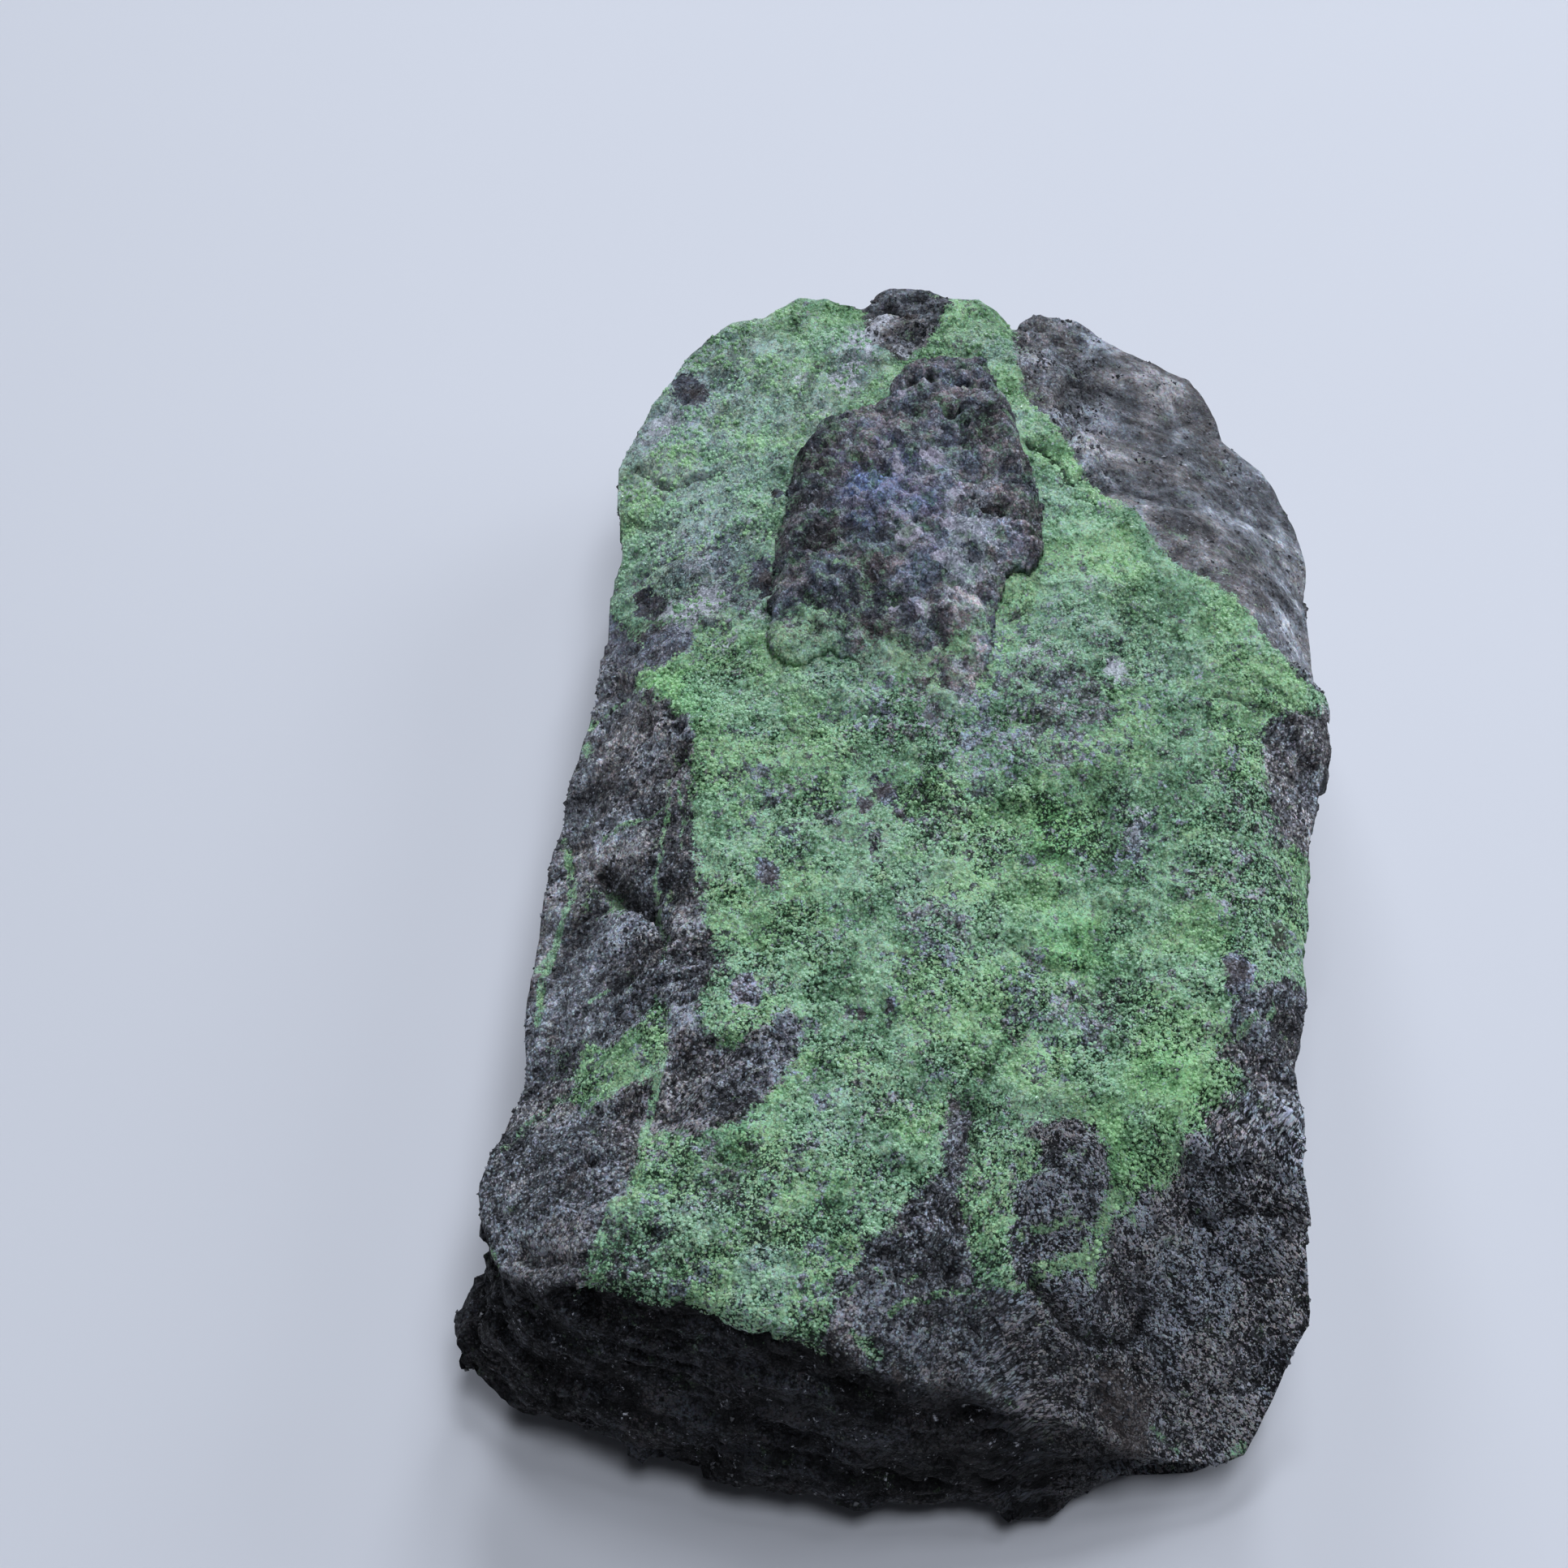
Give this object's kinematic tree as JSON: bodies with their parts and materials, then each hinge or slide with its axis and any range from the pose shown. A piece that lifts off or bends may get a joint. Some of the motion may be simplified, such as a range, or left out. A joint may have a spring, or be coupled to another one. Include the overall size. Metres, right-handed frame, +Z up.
{
  "type": "uvarovite on chromite mineral specimen",
  "caption": "Free-standing hand specimen: a dark chromite block with a thin green crust of uvarovite garnet over its top face and a raised chromite scab near one end.",
  "frame": {"origin": "on the resting plane, under the middle of the specimen's bounding box", "axes": "+Z up out of the green face, +Y along the specimen's length towards its thinner far end, +X to the right when the steep dark end faces the viewer"},
  "size_m": [0.0612, 0.0973, 0.027],
  "materials": {
    "chromite": "granular broken chromite ore, nearly black with a bluish grey sparkle",
    "uvarovite": "druse of tiny green garnet crystals, mint to deep green, glittering"
  },
  "bodies": {
    "root": {"chromite_matrix": "chromite", "uvarovite_crust": "uvarovite", "chromite_slab": "chromite"}
  },
  "joints": []
}
